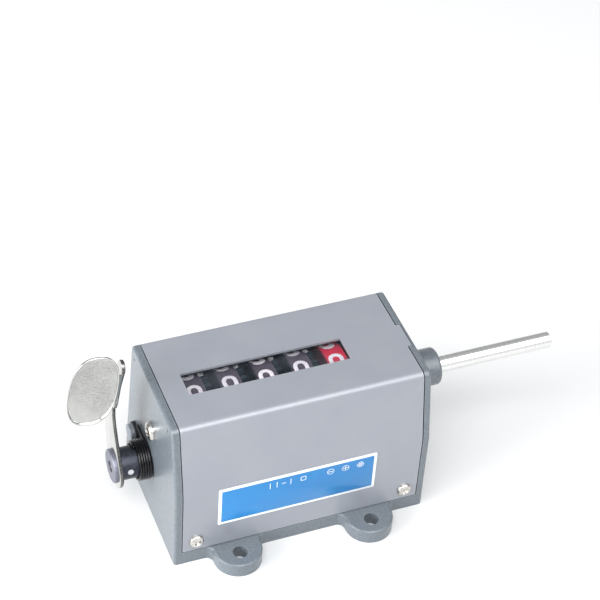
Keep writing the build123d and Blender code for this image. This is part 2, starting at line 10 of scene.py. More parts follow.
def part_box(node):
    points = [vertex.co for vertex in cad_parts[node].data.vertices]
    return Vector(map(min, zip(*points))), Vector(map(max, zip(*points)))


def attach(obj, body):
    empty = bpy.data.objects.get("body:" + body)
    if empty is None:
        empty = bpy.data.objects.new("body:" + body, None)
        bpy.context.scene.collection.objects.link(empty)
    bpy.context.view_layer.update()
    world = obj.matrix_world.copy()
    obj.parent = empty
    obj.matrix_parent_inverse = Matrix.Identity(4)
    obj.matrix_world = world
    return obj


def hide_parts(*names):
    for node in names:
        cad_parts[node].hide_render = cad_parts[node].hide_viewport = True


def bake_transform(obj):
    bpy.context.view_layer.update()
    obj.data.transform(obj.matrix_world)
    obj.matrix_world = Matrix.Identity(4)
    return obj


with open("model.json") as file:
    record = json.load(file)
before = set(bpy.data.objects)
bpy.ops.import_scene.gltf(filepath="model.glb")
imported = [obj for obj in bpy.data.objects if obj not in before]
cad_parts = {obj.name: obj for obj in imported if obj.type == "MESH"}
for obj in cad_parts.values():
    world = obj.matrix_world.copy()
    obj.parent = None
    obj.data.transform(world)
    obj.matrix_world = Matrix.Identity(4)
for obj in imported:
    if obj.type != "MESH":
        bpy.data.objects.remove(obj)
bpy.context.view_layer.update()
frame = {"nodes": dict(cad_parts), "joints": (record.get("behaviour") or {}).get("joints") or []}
nodes = frame["nodes"]
pivots = {joint["name"]: Vector(joint["pos_m"]) for joint in frame["joints"]}
MM = 0.001


# ---- the casting ------------------------------------------------------------
# Base, end cheeks, feet and shaft boss are one zinc die casting. It is sprayed
# grey over the rough cast skin, so it shows a fine hammered grain, and the paint
# is thinner and paler on its edges.
def srgb(red, green, blue):
    """A colour given as it looks on a chart, 0 to 255, in the units of a shader."""
    def linear(value):
        value /= 255
        return value / 12.92 if value <= 0.04045 else ((value + 0.055) / 1.055) ** 2.4
    return (linear(red), linear(green), linear(blue), 1.0)


def add_node(tree, kind, label=None, **settings):
    node = tree.nodes.new(kind)
    if label:
        node.label = label
    for name, value in settings.items():
        setattr(node, name, value)
    return node


def feed(tree, socket, value):
    """Joins another node's output to the socket, or sets a plain value on it."""
    if isinstance(value, bpy.types.NodeSocket):
        tree.links.new(value, socket)
    else:
        socket.default_value = value


def new_group(name, inputs, outputs):
    """An empty shader group with named inputs and outputs."""
    group = bpy.data.node_groups.new(name, "ShaderNodeTree")
    for label, kind, default in inputs:
        socket = group.interface.new_socket(label, in_out="INPUT", socket_type=kind)
        socket.default_value = default
    for label, kind in outputs:
        group.interface.new_socket(label, in_out="OUTPUT", socket_type=kind)
    return group, add_node(group, "NodeGroupInput"), add_node(group, "NodeGroupOutput")


def place_group(tree, group, **values):
    """One use of a shader group; names of inputs are given with _ for a space."""
    node = add_node(tree, "ShaderNodeGroup", label=group.name, node_tree=group)
    for name, value in values.items():
        feed(tree, node.inputs[name.replace("_", " ")], value)
    return node


def fade(tree, mask, low, high, start=0.0, end=1.0):
    """Turns a mask into values from low to high as it goes from start to end."""
    node = add_node(tree, "ShaderNodeMapRange")
    for socket, value in zip(node.inputs, (mask, start, end, low, high)):
        feed(tree, socket, value)
    return node.outputs[0]


def blend_colour(tree, mask, first, second):
    node = add_node(tree, "ShaderNodeMix", data_type="RGBA")
    feed(tree, node.inputs[0], mask)
    feed(tree, node.inputs[6], first)
    feed(tree, node.inputs[7], second)
    return node.outputs[2]


def blend_value(tree, mask, first, second):
    node = add_node(tree, "ShaderNodeMix", data_type="FLOAT")
    for socket, value in zip((node.inputs[0], node.inputs[2], node.inputs[3]), (mask, first, second)):
        feed(tree, socket, value)
    return node.outputs[0]


def reckon(tree, operation, *values):
    """The result of one sum on masks and numbers."""
    node = add_node(tree, "ShaderNodeMath", operation=operation)
    for socket, value in zip(node.inputs, values):
        feed(tree, socket, value)
    return node.outputs[0]


def split_vector(tree, vector):
    """The X, Y and Z outputs of a vector."""
    node = add_node(tree, "ShaderNodeSeparateXYZ")
    feed(tree, node.inputs[0], vector)
    return node.outputs


def raise_surface(tree, height, strength, depth, under=None):
    """A bump of the given real depth in metres, on top of another bump."""
    node = add_node(tree, "ShaderNodeBump")
    node.inputs["Strength"].default_value = strength
    node.inputs["Distance"].default_value = depth
    feed(tree, node.inputs["Height"], height)
    if under:
        feed(tree, node.inputs["Normal"], under)
    return node.outputs["Normal"]


def new_finish(name, metallic=0.0, **plain):
    """A material with its tree and its surface shader, with plain socket values set."""
    material = bpy.data.materials.new(name)
    material.use_nodes = True
    tree = material.node_tree
    shader = tree.nodes["Principled BSDF"]
    shader.inputs["Metallic"].default_value = metallic
    for socket, value in plain.items():
        shader.inputs[socket.replace("_", " ")].default_value = value
    return material, tree, shader


def dress(material, *names):
    """Gives frame nodes their finish."""
    for name in names:
        nodes[name].data.materials.clear()
        nodes[name].data.materials.append(material)


def make_grain_group():
    """Rounded lumps of one size, from 0 in the hollows to 1 on the tops."""
    group, given, result = new_group(
        "grain", [("Size", "NodeSocketFloat", 0.001), ("Stretch", "NodeSocketVector", (1, 1, 1)),
                  ("Detail", "NodeSocketFloat", 2.0)], [("Mask", "NodeSocketFloat")])
    where = add_node(group, "ShaderNodeTexCoord")
    per_metre = add_node(group, "ShaderNodeMath", operation="DIVIDE")
    per_metre.inputs[0].default_value = 1.0
    group.links.new(given.outputs["Size"], per_metre.inputs[1])
    stretched = add_node(group, "ShaderNodeVectorMath", operation="MULTIPLY")
    group.links.new(where.outputs["Object"], stretched.inputs[0])
    group.links.new(given.outputs["Stretch"], stretched.inputs[1])
    noise = add_node(group, "ShaderNodeTexNoise")
    group.links.new(stretched.outputs[0], noise.inputs["Vector"])
    group.links.new(per_metre.outputs[0], noise.inputs["Scale"])
    group.links.new(given.outputs["Detail"], noise.inputs["Detail"])
    group.links.new(fade(group, noise.outputs["Fac"], 0.0, 1.0, 0.3, 0.7), result.inputs["Mask"])
    return group


def make_edge_group():
    """Finds outer and inner edges: 1 on an edge, 0 on open faces."""
    group, given, result = new_group(
        "edge wear and highlight", [("Radius", "NodeSocketFloat", 0.0006)], [("Mask", "NodeSocketFloat")])
    rounded = add_node(group, "ShaderNodeBevel", samples=4)
    group.links.new(given.outputs["Radius"], rounded.inputs["Radius"])
    flat = add_node(group, "ShaderNodeNewGeometry")
    match = add_node(group, "ShaderNodeVectorMath", operation="DOT_PRODUCT")
    group.links.new(rounded.outputs["Normal"], match.inputs[0])
    group.links.new(flat.outputs["Normal"], match.inputs[1])
    group.links.new(fade(group, match.outputs["Value"], 1.0, 0.0, 0.75, 0.99), result.inputs["Mask"])
    return group


def wear_and_highlight_edges(tree, body, radius, amount, colour):
    """The body colour with another colour on its edges, as strong as the amount."""
    edges = place_group(tree, edge_wear_and_highlight, Radius=radius).outputs["Mask"]
    return blend_colour(tree, fade(tree, edges, 0.0, amount), body, colour)


grain = make_grain_group()
edge_wear_and_highlight = make_edge_group()

CAST_HOLLOW = srgb(93, 101, 108)
CAST_TOP = srgb(110, 118, 125)
CAST_EDGE = srgb(150, 158, 166)
cast_paint, tree, shader = new_finish("cast_grey_paint", Coat_Weight=0.3, Coat_Roughness=0.25)
lumps = place_group(tree, grain, Size=0.0011, Detail=3.0).outputs["Mask"]
specks = place_group(tree, grain, Size=0.0004, Detail=2.0).outputs["Mask"]
skin = blend_colour(tree, lumps, CAST_HOLLOW, CAST_TOP)
skin = wear_and_highlight_edges(tree, skin, 0.0007, 0.6, CAST_EDGE)
# The seats that the cover hides, beyond its gap, are painted near black as painted shade.
SEAT_X = (0.05252, 0.05256)
SEAT_Y = (0.0339, 0.03395)
SEAT_Z = (0.00654, 0.00658)
position = add_node(tree, "ShaderNodeNewGeometry").outputs["Position"]
x, y, z = split_vector(tree, position)
between = fade(tree, reckon(tree, "ABSOLUTE", x), 1.0, 0.0, *SEAT_X)
above = fade(tree, z, 0.0, 1.0, *SEAT_Z)
within = fade(tree, reckon(tree, "ABSOLUTE", y), 1.0, 0.0, *SEAT_Y)
seat_painted_shade = reckon(tree, "MULTIPLY", reckon(tree, "MULTIPLY", between, within), above)
# Painted shade: the hidden seats are blended to near black.
feed(tree, shader.inputs["Base Color"], blend_colour(tree, seat_painted_shade, skin, srgb(22, 24, 28)))
feed(tree, shader.inputs["Roughness"], fade(tree, specks, 0.28, 0.4))
rough_skin = raise_surface(tree, lumps, 0.3, 0.00009)
feed(tree, shader.inputs["Normal"], raise_surface(tree, specks, 0.25, 0.00005, rough_skin))
dress(cast_paint, "base_frame")


# ---- the cover --------------------------------------------------------------
# One folded steel sheet makes the front, the top and the rear. It is sprayed a
# smoother satin blue grey, and the paint is worn a little paler on its edges.
COVER_GREY = srgb(135, 139, 148)
COVER_PALE = srgb(140, 144, 152)
COVER_EDGE = srgb(190, 197, 206)
cover_paint, tree, shader = new_finish("cover_satin_paint", Coat_Weight=0.8, Coat_Roughness=0.24)
clouds = place_group(tree, grain, Size=0.018, Detail=3.0).outputs["Mask"]
peel = place_group(tree, grain, Size=0.0007, Detail=1.0).outputs["Mask"]
sheet = blend_colour(tree, clouds, COVER_GREY, COVER_PALE)
feed(tree, shader.inputs["Base Color"], wear_and_highlight_edges(tree, sheet, 0.0004, 0.5, COVER_EDGE))
feed(tree, shader.inputs["Roughness"], fade(tree, peel, 0.32, 0.42))
feed(tree, shader.inputs["Normal"], raise_surface(tree, peel, 0.3, 0.00004))
dress(cover_paint, "cover")


# ---- the window pane --------------------------------------------------------
# A flat strip of thin acrylic lies under the sheet. It is faintly smoked, and
# years of dust have left smears on it.
pane_glass, tree, shader = new_finish("window_acrylic", IOR=1.49, Coat_Weight=1.0, Coat_Roughness=0.02)
smears = place_group(tree, grain, Size=0.006, Stretch=(0.3, 1, 1), Detail=4.0).outputs["Mask"]
feed(tree, shader.inputs["Base Color"], blend_colour(tree, smears, srgb(30, 36, 44), srgb(90, 98, 108)))
feed(tree, shader.inputs["Roughness"], fade(tree, smears, 0.02, 0.12, 0.4, 1.0))
feed(tree, shader.inputs["Alpha"], fade(tree, smears, 0.08, 0.16))
dress(pane_glass, "window_pane")


# ---- the label --------------------------------------------------------------
# A thin aluminium plate, printed blue with a white border and small white marks.
# It is glued to the front of the cover, with rounded corners.
LABEL_BORDER = 1.25 * MM
LABEL_CORNER = 0.6 * MM
LABEL_STEPS = 6


def rounded_rectangle(x0, x1, z0, z1, corner, steps):
    """Points of a rectangle with round corners, in X and Z, anticlockwise from the front."""
    points = []
    for cx, cz, start in ((x1 - corner, z1 - corner, 0), (x0 + corner, z1 - corner, 90),
                          (x0 + corner, z0 + corner, 180), (x1 - corner, z0 + corner, 270)):
        for step in range(steps + 1):
            angle = radians(start + 90 * step / steps)
            points.append((cx + corner * cos(angle), cz + corner * sin(angle)))
    return points


def new_piece(name, build):
    """A mesh object from a function that fills a bmesh."""
    mesh = bpy.data.meshes.new(name)
    shape = bmesh.new()
    build(shape)
    bmesh.ops.recalc_face_normals(shape, faces=shape.faces)
    shape.to_mesh(mesh)
    shape.free()
    piece = bpy.data.objects.new(name, mesh)
    bpy.context.scene.collection.objects.link(piece)
    return piece


def smooth(piece, angle=35):
    """Smooth shading, with edges sharper than the angle left crisp."""
    for face in piece.data.polygons:
        face.use_smooth = True
    piece.data.set_sharp_from_angle(angle=radians(angle))
    return piece


def bridge_loops(shape, loops, close_ends=True):
    """Skins a row of closed loops of vertices that have the same count."""
    rows = [[shape.verts.new(point) for point in loop] for loop in loops]
    count = len(rows[0])
    for near, far in zip(rows, rows[1:]):
        for at in range(count):
            after = (at + 1) % count
            shape.faces.new((near[at], near[after], far[after], far[at]))
    if close_ends:
        shape.faces.new(rows[0])
        shape.faces.new(rows[-1])
    return rows


label_low, label_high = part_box("label_plate")
LABEL_EASE = 0.08 * MM


def label_blank(shape):
    """The plate: its face edge is eased all round."""
    loops = []
    for y, inset in ((label_high.y, 0.0), (label_low.y + LABEL_EASE, 0.0), (label_low.y, LABEL_EASE)):
        ring = rounded_rectangle(label_low.x + inset, label_high.x - inset, label_low.z + inset,
                                 label_high.z - inset, LABEL_CORNER, LABEL_STEPS)
        loops.append([(x, y, z) for x, z in ring])
    bridge_loops(shape, loops)


def make_frame_group():
    """1 inside a rectangle in X and Z, 0 outside it."""
    group, given, result = new_group(
        "printed field",
        [("Centre", "NodeSocketVector", (0, 0, 0)), ("Half", "NodeSocketVector", (1, 1, 1))],
        [("Mask", "NodeSocketFloat")])
    where = add_node(group, "ShaderNodeTexCoord")
    offset = add_node(group, "ShaderNodeVectorMath", operation="SUBTRACT")
    group.links.new(where.outputs["Object"], offset.inputs[0])
    group.links.new(given.outputs["Centre"], offset.inputs[1])
    size = add_node(group, "ShaderNodeVectorMath", operation="ABSOLUTE")
    group.links.new(offset.outputs[0], size.inputs[0])
    room = add_node(group, "ShaderNodeVectorMath", operation="SUBTRACT")
    group.links.new(given.outputs["Half"], room.inputs[0])
    group.links.new(size.outputs[0], room.inputs[1])
    parts = add_node(group, "ShaderNodeSeparateXYZ")
    group.links.new(room.outputs[0], parts.inputs[0])
    least = add_node(group, "ShaderNodeMath", operation="MINIMUM")
    group.links.new(parts.outputs["X"], least.inputs[0])
    group.links.new(parts.outputs["Z"], least.inputs[1])
    inside = add_node(group, "ShaderNodeMath", operation="GREATER_THAN")
    group.links.new(least.outputs[0], inside.inputs[0])
    inside.inputs[1].default_value = 0.0
    group.links.new(inside.outputs[0], result.inputs["Mask"])
    return group


printed_field = make_frame_group()
LABEL_BLUE = srgb(28, 124, 188)
LABEL_DEEP = srgb(25, 119, 184)
LABEL_WHITE = srgb(240, 244, 248)
label_print, tree, shader = new_finish("label_blue_print", Coat_Weight=0.3, Coat_Roughness=0.1)
label_middle = (label_low + label_high) / 2
half_field = (label_high - label_low) / 2 - Vector((LABEL_BORDER, 0, LABEL_BORDER))
field = place_group(tree, printed_field, Centre=label_middle, Half=half_field).outputs["Mask"]
ink = place_group(tree, grain, Size=0.004, Detail=3.0).outputs["Mask"]
blue = blend_colour(tree, ink, LABEL_DEEP, LABEL_BLUE)
feed(tree, shader.inputs["Base Color"], blend_colour(tree, field, LABEL_WHITE, blue))
feed(tree, shader.inputs["Roughness"], fade(tree, ink, 0.3, 0.4))
label = smooth(new_piece("label_blank", label_blank), 50)
label.data.materials.append(label_print)
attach(label, "frame")
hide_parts("label_plate")

# The white marks are plain shapes: strokes, rings and a frame, printed in a row
# near the label's upper edge.
MARK_T = 0.03 * MM
MARK_LINE = 0.28 * MM
MARK_Z = label_high.z - 4.6 * MM
MARK_SIZE = 1.5 * MM
mark_white, tree, shader = new_finish("label_white_ink", Roughness=0.4)
ink = place_group(tree, grain, Size=0.0008, Detail=2.0).outputs["Mask"]
feed(tree, shader.inputs["Base Color"], blend_colour(tree, ink, srgb(226, 238, 250), srgb(246, 250, 252)))


def mark_stroke(shape, x0, z0, x1, z1):
    """A raised printed stroke between two points of the label's face."""
    along = Vector((x1 - x0, 0, z1 - z0)).normalized() * MARK_LINE / 2
    across = Vector((-along.z, 0, along.x))
    start, end = Vector((x0, 0, z0)) - along, Vector((x1, 0, z1)) + along
    loops = []
    for y in (label_low.y + MARK_T, label_low.y - MARK_T):
        depth = Vector((0, y, 0))
        loops.append([start - across + depth, end - across + depth,
                      end + across + depth, start + across + depth])
    bridge_loops(shape, loops)


def mark_ring(shape, x, z, radius, sides):
    points = [(x + radius * cos(2 * pi * (i + 0.5) / sides), z + radius * sin(2 * pi * (i + 0.5) / sides))
              for i in range(sides)]
    for (x0, z0), (x1, z1) in zip(points, points[1:] + points[:1]):
        mark_stroke(shape, x0, z0, x1, z1)


def label_marks(shape):
    """Left group: strokes. Middle: a square frame. Right group: rings with spokes."""
    left = label_low.x + 22 * MM
    for step in range(4):
        x = left + step * 3.0 * MM
        if step == 2:
            mark_stroke(shape, x - MARK_SIZE / 2, MARK_Z, x + MARK_SIZE / 2, MARK_Z)
        else:
            mark_stroke(shape, x, MARK_Z - MARK_SIZE, x, MARK_Z + MARK_SIZE)
    mark_ring(shape, left + 14.5 * MM, MARK_Z, MARK_SIZE, 4)
    for step in range(3):
        x = left + (26.5 + step * 6.6) * MM
        mark_ring(shape, x, MARK_Z, MARK_SIZE, 12)
        for turn in range(step + 1):
            angle = pi * turn / (step + 1)
            mark_stroke(shape, x - MARK_SIZE * cos(angle), MARK_Z - MARK_SIZE * sin(angle),
                        x + MARK_SIZE * cos(angle), MARK_Z + MARK_SIZE * sin(angle))


marks = new_piece("label_marks", label_marks)
marks.data.materials.append(mark_white)
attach(marks, "frame")


# ---- screws -----------------------------------------------------------------
# Pan head screws with a cross recess, nickel plated steel: four small ones hold
# the cover, a larger one on the left cheek holds the wheel axle.
nickel_screw, tree, shader = new_finish("screw_nickel", metallic=1.0)
turning = place_group(tree, grain, Size=0.0006, Detail=3.0).outputs["Mask"]
plated = blend_colour(tree, turning, srgb(188, 184, 178), srgb(214, 211, 206))
feed(tree, shader.inputs["Base Color"], wear_and_highlight_edges(tree, plated, 0.0003, 0.7, srgb(240, 238, 234)))
feed(tree, shader.inputs["Roughness"], fade(tree, turning, 0.16, 0.3))
feed(tree, shader.inputs["Normal"], raise_surface(tree, turning, 0.15, 0.00003))

HEAD_SEGMENTS = 48
RECESS_DEPTH = 0.55       # share of the head's height
RECESS_REACH = 0.56       # share of the head's radius
RECESS_WIDTH = 0.15


def head_profile(radius, height):
    """(r, z) of a pan head, from its rim on the seat to the middle of its top."""
    corner = 0.55 * height
    dome = 0.12 * height
    flat = radius - corner
    points = [(radius, 0.0), (radius, height - corner - dome)]
    for step in range(1, 9):
        angle = pi / 2 * step / 8
        points.append((flat + corner * cos(angle), height - corner - dome + corner * sin(angle)))
    for step in range(1, 6):
        share = 1 - step / 6
        points.append((flat * share, height - dome * share * share))
    return points


def cross_cutter(shape, radius, height):
    """Two crossing tapered bars that cut the recess."""
    top, bottom = height * 1.3, height * (1 - RECESS_DEPTH)
    for turn in (0, 90):
        loops = []
        for z, reach in ((bottom, 0.55), (top, 1.25)):
            length, width = radius * RECESS_REACH * reach, radius * RECESS_WIDTH * (0.8 + 0.25 * reach)
            corners = ((-length, -width), (length, -width), (length, width), (-length, width))
            loops.append([Matrix.Rotation(radians(turn), 3, "Z") @ Vector((x, y, z)) for x, y in corners])
        bridge_loops(shape, loops)


def pan_screw(name, radius, height, seat, lean, turn):
    """A screw head, drawn in millimetres, set on its seat; lean turns it from +Z to where it points."""
    def head(shape):
        profile = head_profile(radius, height)
        loops = [[(r * cos(2 * pi * i / HEAD_SEGMENTS), r * sin(2 * pi * i / HEAD_SEGMENTS), z)
                  for i in range(HEAD_SEGMENTS)] for r, z in profile]
        bridge_loops(shape, loops)
    screw = new_piece(name, head)
    cutter = new_piece(name + "_cutter", lambda shape: cross_cutter(shape, radius, height))
    cut = screw.modifiers.new("recess", "BOOLEAN")
    cut.operation, cut.object, cut.solver, cut.use_self = "DIFFERENCE", cutter, "EXACT", True
    bpy.context.view_layer.update()
    finished = bpy.data.meshes.new_from_object(screw.evaluated_get(bpy.context.evaluated_depsgraph_get()))
    screw.modifiers.clear()
    screw.data = finished
    bpy.data.objects.remove(cutter)
    to_place = Matrix.Translation(seat) @ lean @ Matrix.Rotation(radians(turn), 4, "Z")
    finished.transform(to_place @ Matrix.Scale(MM, 4))
    finished.materials.append(nickel_screw)
    return smooth(screw, 40)


COVER_HEAD_R = 3.1
COVER_HEAD_H = 1.8
screw_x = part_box("cover_screws")[1].x - COVER_HEAD_R * MM
screw_z = 12.5 * MM
REAR_LEAN = Vector((0, 9.4, 73.0)).normalized()      # how the rear face leans in
front_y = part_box("cover")[0].y
rear_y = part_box("cover")[1].y - (screw_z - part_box("cover")[0].z) * REAR_LEAN.y / REAR_LEAN.z
to_front = Matrix.Rotation(radians(90), 4, "X")
to_rear = Vector((0, REAR_LEAN.z, REAR_LEAN.y)).to_track_quat("Z", "Y").to_matrix().to_4x4()
for number, (side, y, lean, turn) in enumerate(((-1, front_y, to_front, 28), (1, front_y, to_front, 62),
                                                (-1, rear_y, to_rear, 10), (1, rear_y, to_rear, 47))):
    head = pan_screw(f"cover_screw_{number + 1}", COVER_HEAD_R, COVER_HEAD_H,
                     Vector((side * screw_x, y, screw_z)), lean, turn)
    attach(head, "frame")
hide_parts("cover_screws")

axle_low, axle_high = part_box("axle_screw")
AXLE_HEAD_H = 2.8
cheek_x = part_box("base_frame")[0].x
axle_head = pan_screw("axle_screw_head", (axle_high.y - axle_low.y) / 2 / MM, AXLE_HEAD_H,
                      Vector((cheek_x, pivots["wheel_1_spin"].y, pivots["wheel_1_spin"].z)),
                      Matrix.Rotation(radians(-90), 4, "Y"), 20)
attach(axle_head, "frame")
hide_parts("axle_screw")


# ---- inner plates, rods and bushes ------------------------------------------
# Out of sight behind the wheels: a zinc plated bearing plate with its screws,
# ground steel rods, turned spacers and bronze bushes.
zinc, tree, shader = new_finish("zinc_plate", metallic=1.0)
spangle = place_group(tree, grain, Size=0.003, Detail=3.0).outputs["Mask"]
plated = blend_colour(tree, spangle, srgb(150, 156, 160), srgb(184, 188, 190))
feed(tree, shader.inputs["Base Color"], plated)
feed(tree, shader.inputs["Roughness"], fade(tree, spangle, 0.3, 0.5))
dress(zinc, "gear_plate", "gear_plate_screws")

ground_steel, tree, shader = new_finish("ground_steel", metallic=1.0)
lay = place_group(tree, grain, Size=0.0003, Stretch=(1, 0.1, 0.1), Detail=2.0).outputs["Mask"]
feed(tree, shader.inputs["Base Color"], blend_colour(tree, lay, srgb(160, 160, 162), srgb(190, 190, 190)))
feed(tree, shader.inputs["Roughness"], fade(tree, lay, 0.2, 0.35))
dress(ground_steel, "wheel_axle", "carry_shaft", "countershaft", "reset_shaft", "axle_spacers",
      "carry_spacers", "shaft_collar", "collar_screw", "reset_hammers")

bronze, tree, shader = new_finish("oiled_bronze", metallic=1.0)
pores = place_group(tree, grain, Size=0.0005, Detail=3.0).outputs["Mask"]
feed(tree, shader.inputs["Base Color"], blend_colour(tree, pores, srgb(122, 84, 50), srgb(176, 130, 80)))
feed(tree, shader.inputs["Roughness"], fade(tree, pores, 0.3, 0.5))
dress(bronze, "input_bush", "reset_bush", "countershaft_bush")

gear_brass, tree, shader = new_finish("gear_brass", metallic=1.0)
hobbed = place_group(tree, grain, Size=0.0006, Stretch=(0.2, 1, 1), Detail=2.0).outputs["Mask"]
feed(tree, shader.inputs["Base Color"], blend_colour(tree, hobbed, srgb(176, 140, 70), srgb(206, 174, 100)))
feed(tree, shader.inputs["Roughness"], fade(tree, hobbed, 0.22, 0.4))
dress(gear_brass, "input_pinion", "counter_gear", "counter_pinion", "units_gear",
      *[f"heart_cam_{k}" for k in range(1, 6)])


# ---- the input shaft --------------------------------------------------------
# A ground and polished 7 mm steel shaft runs in the boss. Polishing has left
# faint rings round it.
polished, tree, shader = new_finish("polished_shaft_steel", metallic=1.0)
rings = place_group(tree, grain, Size=0.0004, Stretch=(1, 0.04, 0.04), Detail=2.0).outputs["Mask"]
feed(tree, shader.inputs["Base Color"], blend_colour(tree, rings, srgb(224, 224, 222), srgb(236, 236, 234)))
feed(tree, shader.inputs["Roughness"], fade(tree, rings, 0.05, 0.1))
feed(tree, shader.inputs["Normal"], raise_surface(tree, rings, 0.05, 0.00001))
dress(polished, "input_shaft")


# ---- number wheels ----------------------------------------------------------
# Five moulded drums turn on one axle, the units drum red and the others dark.
# Dark toothed rings fill the gaps, and black pinions behind carry the tens.
def moulded(name, dark, pale, rough_low, rough_high, edge=0.6, stretch=(1, 1, 1)):
    """Moulded plastic with a faint mottle, and paler edges that are a painted highlight."""
    material, tree, shader = new_finish(name)
    mottle = place_group(tree, grain, Size=0.0018, Stretch=stretch, Detail=3.0).outputs["Mask"]
    body = blend_colour(tree, mottle, dark, pale)
    # The paler rim colour along the edges is a painted highlight.
    rim = blend_colour(tree, mottle, pale, srgb(176, 172, 184))
    feed(tree, shader.inputs["Base Color"], wear_and_highlight_edges(tree, body, 0.0003, edge, rim))
    feed(tree, shader.inputs["Roughness"], fade(tree, mottle, rough_low, rough_high))
    feed(tree, shader.inputs["Normal"], raise_surface(tree, mottle, 0.1, 0.00004))
    return material


def collar_mask(tree):
    """0 on the left part of every drum and 1 on its printed part."""
    x, _, _ = split_vector(tree, add_node(tree, "ShaderNodeNewGeometry").outputs["Position"])
    from_edge = reckon(tree, "FLOORED_MODULO", reckon(tree, "SUBTRACT", x, drum_x), drum_pitch)
    return fade(tree, from_edge, 0.0, 1.0, COLLAR_W * 0.7, COLLAR_W)


def add_collar(material, colour, gloss):
    """Turns the left part of each drum into a smooth dark collar."""
    tree = material.node_tree
    shader = tree.nodes["Principled BSDF"]
    print_side = collar_mask(tree)
    for name, blend, left in (("Base Color", blend_colour, colour), ("Roughness", blend_value, gloss)):
        body = shader.inputs[name].links[0].from_socket
        feed(tree, shader.inputs[name], blend(tree, print_side, left, body))


COLLAR_W = 2.6 * MM
drum_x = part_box("number_wheel_2")[0].x - 0.1 * MM
drum_pitch = (pivots["wheel_1_spin"] - pivots["wheel_2_spin"]).x
drum_dark = moulded("drum_dark_plastic", srgb(70, 61, 75), srgb(92, 83, 97), 0.35, 0.5)
drum_red = moulded("drum_red_plastic", srgb(202, 24, 58), srgb(226, 48, 82), 0.3, 0.45, 0.25)
ring_black = moulded("ring_black_plastic", srgb(22, 32, 40), srgb(38, 50, 60), 0.1, 0.2, 0.1, (0.15, 1, 1))
pinion_black = moulded("pinion_black_plastic", srgb(30, 32, 36), srgb(46, 48, 54), 0.3, 0.45, 0.1)
add_collar(drum_dark, srgb(27, 34, 43), 0.15)
add_collar(drum_red, srgb(74, 18, 34), 0.2)
dress(drum_red, "number_wheel_1")
dress(drum_dark, *[f"number_wheel_{k}" for k in range(2, 6)])
dress(ring_black, *[f"wheel_ring_{k}" for k in range(2, 6)])
dress(pinion_black, *[f"carry_pinion_{k}" for k in range(1, 5)])


# ---- the figures ------------------------------------------------------------
# Ten figures are pad printed round each drum in thick white ink. They are drawn
# with one round pen, and each drum's print sits a degree or two off the next.
FIGURE_A = 2.35           # half the width of a figure, along the pen's path
FIGURE_B = 3.1            # half the height
PEN = 1.75                # width of a stroke
INK_RISE = 0.05           # how far the ink stands off the drum
ZERO_AT = -6.5            # degrees from the top of the drum, towards the rear
PRINT_OFF = {1: -1.1, 2: 0.5, 3: -1.2, 4: 2.2, 5: -0.5}
ARC_STEP = 15             # degrees
LONGEST_STEP = 0.4
FIGURE_TURN = 36          # degrees from one figure to the next


def arc(x, y, r, start, end):
    """Points on a round part of a figure, from one angle to another."""
    count = max(2, round(abs(end - start) / ARC_STEP))
    return [(x + r * cos(radians(start + (end - start) * i / count)),
             y + r * sin(radians(start + (end - start) * i / count))) for i in range(count + 1)]


def figure_strokes(figure):
    """Pen paths of a figure as (points, closed)."""
    a, b = FIGURE_A, FIGURE_B
    top, low = b - a, a - b
    small = (b + 0.2) / 2
    paths = {
        0: [(arc(0, top, a, 0, 180) + arc(0, low, a, 180, 360), True)],
        1: [([(-1.1, b - 1.3), (0.3, b), (0.3, -b)], False)],
        2: [(arc(0, top, a, 165, -40) + [(-a, -b), (a, -b)], False)],
        3: [(arc(0, b - small, small, 150, -90) + arc(0, small - b, small, 90, -150), False)],
        4: [([(0.8, -b), (0.8, b), (-a, -1.2), (a + 0.2, -1.2)], False)],
        5: [([(a - 0.2, b), (-a + 0.4, b), (-a + 0.2, 0.6)] + arc(-0.1, low, a, 115, -150), False)],
        6: [(arc(0, top, a, 30, 180) + arc(0, low, a, 180, 540), False)],
        7: [([(-a, b), (a, b), (-0.6, -b)], False)],
        8: [(arc(0, b - small, small - 0.1, -90, 270), True),
            (arc(0, small - b, small + 0.1, 90, 450), True)],
        9: [([(-x, -y) for x, y in arc(0, top, a, 30, 180) + arc(0, low, a, 180, 540)], False)],
    }
    return paths[figure]


def short_steps(points, closed):
    """The same path with extra points, so that it can follow the drum's curve."""
    ends = points[1:] + points[:1] if closed else points[1:]
    dense = []
    for (x0, y0), (x1, y1) in zip(points, ends):
        count = max(1, round(max(abs(x1 - x0), abs(y1 - y0)) / LONGEST_STEP))
        dense += [(x0 + (x1 - x0) * i / count, y0 + (y1 - y0) * i / count) for i in range(count)]
    return dense if closed else dense + [points[-1]]


def figure_mesh(figure):
    """The figure's strokes as round rods in X and Y, in millimetres."""
    pen = bpy.data.curves.new(f"pen_{figure}", "CURVE")
    pen.dimensions = "3D"
    pen.bevel_depth = PEN / 2
    pen.bevel_resolution = 3
    pen.use_fill_caps = True
    for points, closed in figure_strokes(figure):
        if closed and (Vector(points[0]) - Vector(points[-1])).length < PEN / 100:
            points = points[:-1]
        points = short_steps(points, closed)
        stroke = pen.splines.new("POLY")
        stroke.points.add(len(points) - 1)
        for point, (x, y) in zip(stroke.points, points):
            point.co = (x, y, 0, 1)
        stroke.use_cyclic_u = closed
    rod = bpy.data.objects.new(pen.name, pen)
    bpy.context.scene.collection.objects.link(rod)
    bpy.context.view_layer.update()
    mesh = bpy.data.meshes.new_from_object(rod.evaluated_get(bpy.context.evaluated_depsgraph_get()))
    bpy.data.objects.remove(rod)
    return mesh


